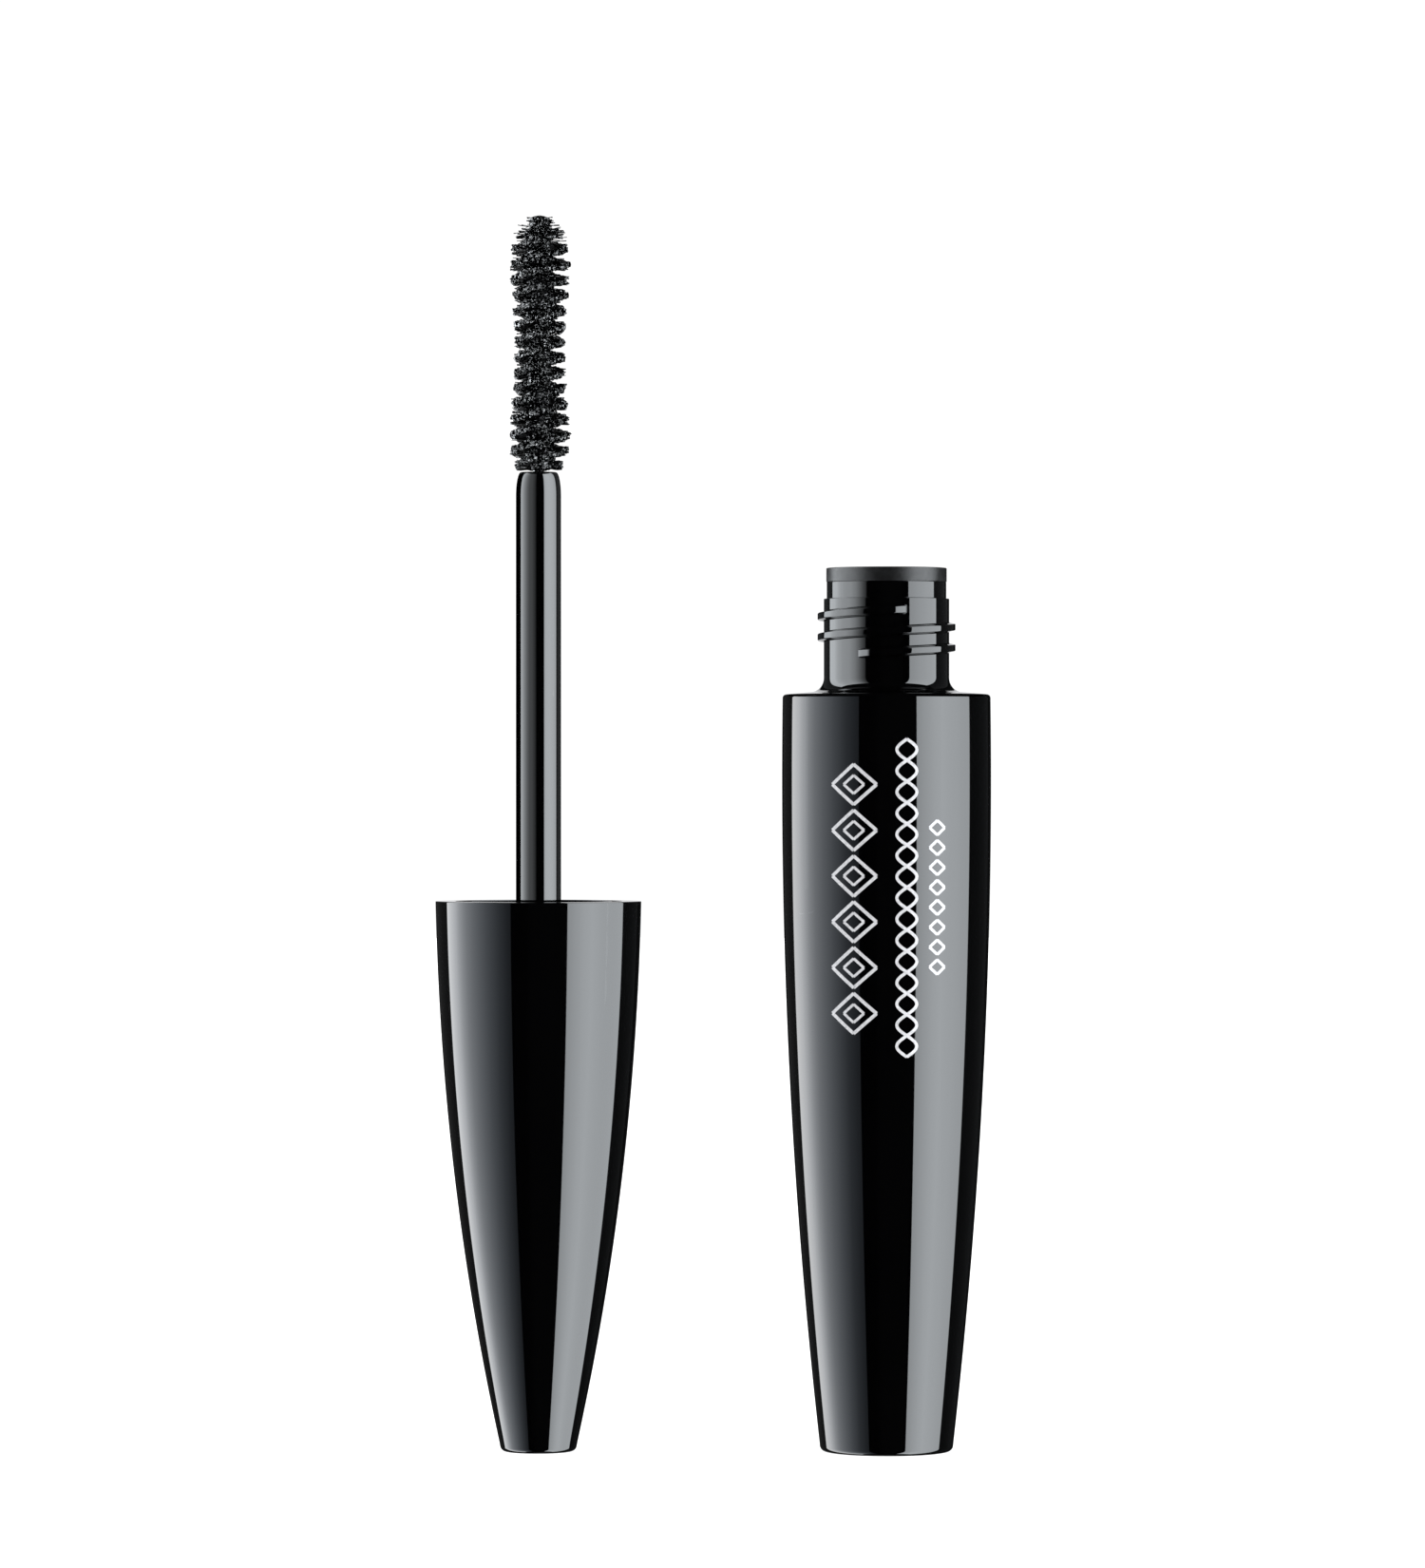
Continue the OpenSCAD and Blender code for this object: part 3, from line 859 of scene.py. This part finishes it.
def tip_fibres(points, faces, rng):
    """Single bare bristles standing out from the thin tip."""
    lowest = 119.7
    for _ in range(44):
        z0 = rng.uniform(lowest, BRUSH_TOP - 0.4)
        turn = rng.uniform(0, 2 * math.pi)
        reach = brush_envelope(z0) * rng.uniform(0.9, 1.12)
        rise = rng.normal(0.05, 0.12)
        path, widths = [], []
        for u in (0, 0.5, 1):
            r = 0.6 + (reach - 0.6) * u
            z = min(BRUSH_TOP - 0.05, z0 + rise * u * u)
            path.append(on_brush(r, turn, z))
            widths.append(rng.uniform(0.035, 0.055))
        fibre(points, faces, path, widths)


def short_tufts(points, faces, rng):
    """Bent and matted bristles that fill the hollows between the two rows."""
    for _ in range(600):
        z0 = rng.uniform(BRUSH_FOOT + 0.4, BRUSH_TOP - 1.0)
        turn = rng.uniform(0, 2 * math.pi)
        reach = rng.uniform(1.25, 1.75) * brush_envelope(z0) / BRUSH_R
        path, widths = [], []
        bend = rng.normal(0, 0.25)
        rise = rng.normal(0, 0.25)
        for u in (0, 0.5, 0.85, 1):
            r = 0.7 + (reach - 0.7) * u
            z = min(BRUSH_TOP - 0.1, max(BRUSH_FOOT + 0.1, z0 + rise * u))
            path.append(on_brush(r, turn + bend * u, z))
            widths.append(rng.uniform(0.07, 0.16))
        widths[-1] *= 0.7
        fibre(points, faces, path, widths)


def clots(points, faces, rng):
    """Small clots of paste caught between the bristles."""
    rows, sides = 4, 6
    for _ in range(800):
        z0 = rng.uniform(BRUSH_FOOT + 0.4, BRUSH_TOP - 1.2)
        if rng.uniform() > paste_amount(z0):
            continue
        arm = math.pi * rng.integers(0, 2)
        a = twist_angle(z0) + arm + rng.normal(0, 0.16)
        r0 = rng.uniform(0.9, brush_envelope(z0) - 0.2)
        size = rng.uniform(0.08, 0.22)
        stretch = rng.uniform(0.7, 1.6)
        cx, cy, _ = on_brush(r0, a, z0)
        z0 += rng.uniform(-0.25, 0.25)
        first = len(points)
        for j in range(rows + 1):
            v = math.pi * (0.04 + 0.92 * j / rows)
            for k in range(sides):
                t = 2 * math.pi * k / sides
                lump = 1 + 0.5 * fractal(cx * 3 + math.cos(t), cy * 3 + math.sin(t), z0 + v, 3)
                out = size * stretch * math.cos(v) * lump
                side = size * math.sin(v) * math.cos(t) * lump
                up = size * 0.8 * math.sin(v) * math.sin(t) * lump
                x = cx + out * math.cos(a) - side * math.sin(a)
                y = cy + out * math.sin(a) + side * math.cos(a)
                points.append((x, y, max(BRUSH_FOOT + 0.02, z0 + up)))
        faces += tube_faces(first, rows + 1, sides, flipped=True)


def brush():
    rng = np.random.default_rng(7)
    points, faces = [], []
    paste_core(points, faces)
    paste_fin(points, faces, 0.0)
    paste_fin(points, faces, math.pi)
    clots(points, faces, rng)
    paste = add_mesh("brush_paste", points, faces, PASTE)
    place(paste, "brush", "wand", "mascara", "bristles")
    points, faces = [], []
    fibres(points, faces, rng)
    short_tufts(points, faces, rng)
    tip_fibres(points, faces, rng)
    tufts = add_mesh("brush_fibres", points, faces, FIBRE)
    place(tufts, "brush", "wand", "bristle", "bristles")


# ---------------------------------------------------------------- surroundings


def tent_panel(name, seen_by, shaded_by, stops, tints, radius, top=1.1):
    """One tall curved panel of a light tent, seen only by one group of pieces and shaded only by
    another. stops are (angle, glow): the angle is seen from above, from the front to the right.
    tints are for the panel's end nearest the front and for its far end."""
    steps = 64
    low = -2.4
    inner_tint, outer_tint = tints
    start, end = stops[0][0], stops[-1][0]
    points = []
    for i in range(steps + 1):
        t = math.radians(start + (end - start) * i / steps)
        x, y = radius * math.sin(t), -radius * math.cos(t)
        points += [(x / MM, y / MM, low / MM), (x / MM, y / MM, top / MM)]
    faces = [(2 * i, 2 * i + 1, 2 * i + 3, 2 * i + 2) for i in range(steps)]
    mat = bpy.data.materials.new(name)
    mat.use_nodes = True
    tree = mat.node_tree
    tree.nodes.clear()
    out = tree.nodes.new("ShaderNodeOutputMaterial")
    glow = tree.nodes.new("ShaderNodeEmission")
    ramp = tree.nodes.new("ShaderNodeValToRGB")
    uv = tree.nodes.new("ShaderNodeUVMap")
    split = tree.nodes.new("ShaderNodeSeparateXYZ")
    while len(ramp.color_ramp.elements) < len(stops):
        ramp.color_ramp.elements.new(0.5)
    widest = 129  # where the outer tint is reached
    narrowest = min(abs(start), abs(end))
    for element, (angle, value) in zip(ramp.color_ramp.elements, stops):
        share = min(1, (abs(angle) - narrowest) / (widest - narrowest))
        tint = np.array(inner_tint) * (1 - share) + np.array(outer_tint) * share
        element.position = (angle - start) / (end - start)
        element.color = (*(tint * value), 1)
    tree.links.new(uv.outputs["UV"], split.inputs["Vector"])
    tree.links.new(split.outputs["X"], ramp.inputs["Fac"])
    tree.links.new(ramp.outputs["Color"], glow.inputs["Color"])
    tree.links.new(glow.outputs["Emission"], out.inputs["Surface"])
    obj = add_mesh(name, points, faces, mat)
    layer = obj.data.uv_layers.new(name="UVMap")
    for poly in obj.data.polygons:
        for corner in poly.loop_indices:
            vertex = obj.data.loops[corner].vertex_index
            layer.data[corner].uv = (vertex // 2 / steps, vertex % 2)
    obj.visible_camera = False
    obj.visible_shadow = False
    obj.visible_diffuse = False
    obj.light_linking.receiver_collection = seen_by
    obj.light_linking.blocker_collection = shaded_by
    return obj


def light_group(name, pieces):
    group = bpy.data.collections.new(name)
    for piece in pieces:
        group.objects.link(piece)
    return group


def tent_light():
    """A light tent round each part of the object, so that neither half shows in the other's
    gloss: on the left a panel that fades towards the front, on the right an even one."""
    neutral, cool, blue = (0.975, 0.985, 1), (0.91, 0.96, 1), (0.75, 0.86, 1)
    body_left = [(-160, 0.05), (-129.6, 0.05), (-129, 4.8), (-121, 5.6), (-114, 6.0),
                 (-106, 5.5), (-97, 4.3), (-88, 3.3), (-74, 2.3), (-60, 1.4), (-47, 0.7),
                 (-36, 0.4), (-31.8, 0.33)]
    cap_left = [(-160, 0.05), (-122, 0.05), (-121.5, 6.3), (-112, 6.5), (-105, 6.3), (-97, 5.0),
                (-88, 3.8), (-74, 2.65), (-60, 1.6), (-47, 0.85), (-36, 0.42), (-31.8, 0.33)]
    body_right = [(32, 6.5), (41, 7.5), (53, 8.5), (63, 8.8), (81, 7.4), (102.4, 5.1),
                  (103, 0.04), (150, 0.04)]
    tents = {
        "body": (body_left, body_right),
        "neck": ([(-160, 0.08), (-129.6, 0.08), (-129, 4.2), (-112, 6.2), (-97, 5.6),
                  (-74, 5.8), (-62, 4.4), (-48, 1.6), (-40, 0.4)],
                 [(41.5, 6.4), (53, 6.9), (63, 7.3), (81, 7.2), (102, 6), (102.6, 0.08),
                  (150, 0.08)]),
        "cap": (cap_left, body_right[:5] + [(111, 5.1), (111.5, 0.04), (150, 0.04)]),
        "stem": ([(-101, 7.4), (-97, 7.0), (-88, 6.7), (-74, 4.6), (-60, 2.6), (-47, 1.5),
                  (-35, 1.35), (-23, 0.8), (-12, 0.2)],
                 [(28, 8.5), (41, 10.3), (60, 10.2), (81, 8.6), (104, 5.5),
                  (104.6, 0.2), (150, 0.2)]),
        "brush": ([(-107, 29), (-89, 29)], [(36, 27), (56, 27)]),
    }
    bottle = light_group("bottle_half", lit_pieces["body"] + lit_pieces["neck"])
    wand = light_group("wand_half", lit_pieces["cap"] + lit_pieces["stem"] + lit_pieces["brush"])
    panels = []
    for i, (part, (left, right)) in enumerate(tents.items()):
        seen_by = light_group(part + "_lit", lit_pieces[part])
        half = bottle if part in ("body", "neck") else wand
        radius = 0.92 + 0.01 * i
        tints = (blue, neutral) if part in ("body", "cap") else (cool, cool)
        # Lower for the body: in taller ones the shoulder's edge is a bright line at the seam
        top = 0.3 if part == "body" else 1.1
        panels.append(tent_panel(part + "_left", seen_by, half, left, tints, radius, top))
        panels.append(tent_panel(part + "_right", seen_by, half, right, (cool, cool), radius, top))
    back = [(172, 0.8), (188, 0.8)]
    plain = (neutral, neutral)
    panels.append(tent_panel("bottle_back", bottle, bottle, back, plain, 0.98))
    panels.append(tent_panel("wand_back", wand, wand, back, plain, 0.99))
    fill = area_light("front_fill", (-0.017, -0.9, 0.25), (-0.017, 0, 0.06), 0.5, 4.5)
    everything = [piece for pieces in lit_pieces.values() for piece in pieces] + panels
    fill.light_linking.blocker_collection = light_group("all_lit", everything)


def area_light(name, at, aim, size, power):
    """A soft round light, aimed at a point and not seen in reflections."""
    data = bpy.data.lights.new(name, "AREA")
    data.shape = "DISK"
    data.size = size
    data.energy = power
    obj = bpy.data.objects.new(name, data)
    SCENE.collection.objects.link(obj)
    obj.location = at
    obj.rotation_euler = (Vector(aim) - Vector(at)).to_track_quat("-Z", "Y").to_euler()
    obj.visible_camera = False
    obj.visible_glossy = False
    return obj


def high_sun(floor):
    """Light from straight above that keeps the floor evenly white out to its edges."""
    data = bpy.data.lights.new("high_sun", "SUN")
    data.energy = 3
    data.use_shadow = False
    obj = bpy.data.objects.new("high_sun", data)
    SCENE.collection.objects.link(obj)
    obj.visible_glossy = False
    obj.light_linking.receiver_collection = light_group("floor_lit", [floor])


def pale_floor():
    """A wide pale floor under the object, with a barely mottled matt finish."""
    m = Nodes("pale_floor")
    m.set(Specular_IOR_Level=0.0)
    m.feed(
        Base_Color=m.ramp(m.noise(30), [(0.3, (0.87, 0.87, 0.87)), (0.7, (0.9, 0.9, 0.9))]),
        Roughness=m.spread(m.noise(200), 0.85, 0.95),
    )
    half = 2500
    corners = [(-half, -half, -0.02), (half, -half, -0.02), (half, half, -0.02), (-half, half, -0.02)]
    obj = add_mesh("pale_floor", corners, [(0, 1, 2, 3)], m.material)
    obj.visible_glossy = False
    return obj


def white_surround():
    """White to the camera and to soft light, dark in reflections."""
    world = bpy.data.worlds.new("surround")
    SCENE.world = world
    world.use_nodes = True
    tree = world.node_tree
    tree.nodes.clear()
    out = tree.nodes.new("ShaderNodeOutputWorld")
    rays = tree.nodes.new("ShaderNodeLightPath")
    white = tree.nodes.new("ShaderNodeBackground")
    dark = tree.nodes.new("ShaderNodeBackground")
    mix = tree.nodes.new("ShaderNodeMixShader")
    white.inputs["Color"].default_value = (1, 1, 1, 1)
    white.inputs["Strength"].default_value = 1.05
    dark.inputs["Color"].default_value = (0.5, 0.52, 0.55, 1)
    dark.inputs["Strength"].default_value = 0.02
    tree.links.new(rays.outputs["Is Glossy Ray"], mix.inputs["Fac"])
    tree.links.new(white.outputs["Background"], mix.inputs[1])
    tree.links.new(dark.outputs["Background"], mix.inputs[2])
    tree.links.new(mix.outputs["Shader"], out.inputs["Surface"])


def camera():
    """Level with the middle of the wand, square on, between the bottle and the wand."""
    distance = 0.75
    height = 0.0661
    frame_height = 0.1554
    data = bpy.data.cameras.new("camera")
    data.sensor_width = 36
    data.lens = 36 * distance / frame_height
    obj = bpy.data.objects.new("camera", data)
    SCENE.collection.objects.link(obj)
    obj.location = (WAND_X / 2 * MM, -distance, height)
    obj.rotation_euler = (math.radians(90), 0, 0)
    SCENE.camera = obj


# ---------------------------------------------------------------- everything

bottle_skin()
wiper_skin()
smear_on_wiper()
mascara_paste()
foil_ornament()
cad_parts["base_label"].data.materials.clear()
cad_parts["base_label"].data.materials.append(LABEL)
cap_skin()
inner_cap_skin()
seal_skin()
weight_skin()
stem_skin()
twisted_pair("shank_wires", "turnover", "wire_shank", SHANK_LOW[2], SHANK_HIGH[2])
twisted_pair("brush_wires", "wand", "brush_wire", STEM_TOP - 0.9, BRUSH_TOP - 0.25)
brush()
tent_light()
floor = pale_floor()
high_sun(floor)
white_surround()
camera()
SCENE.view_settings.view_transform = "Standard"
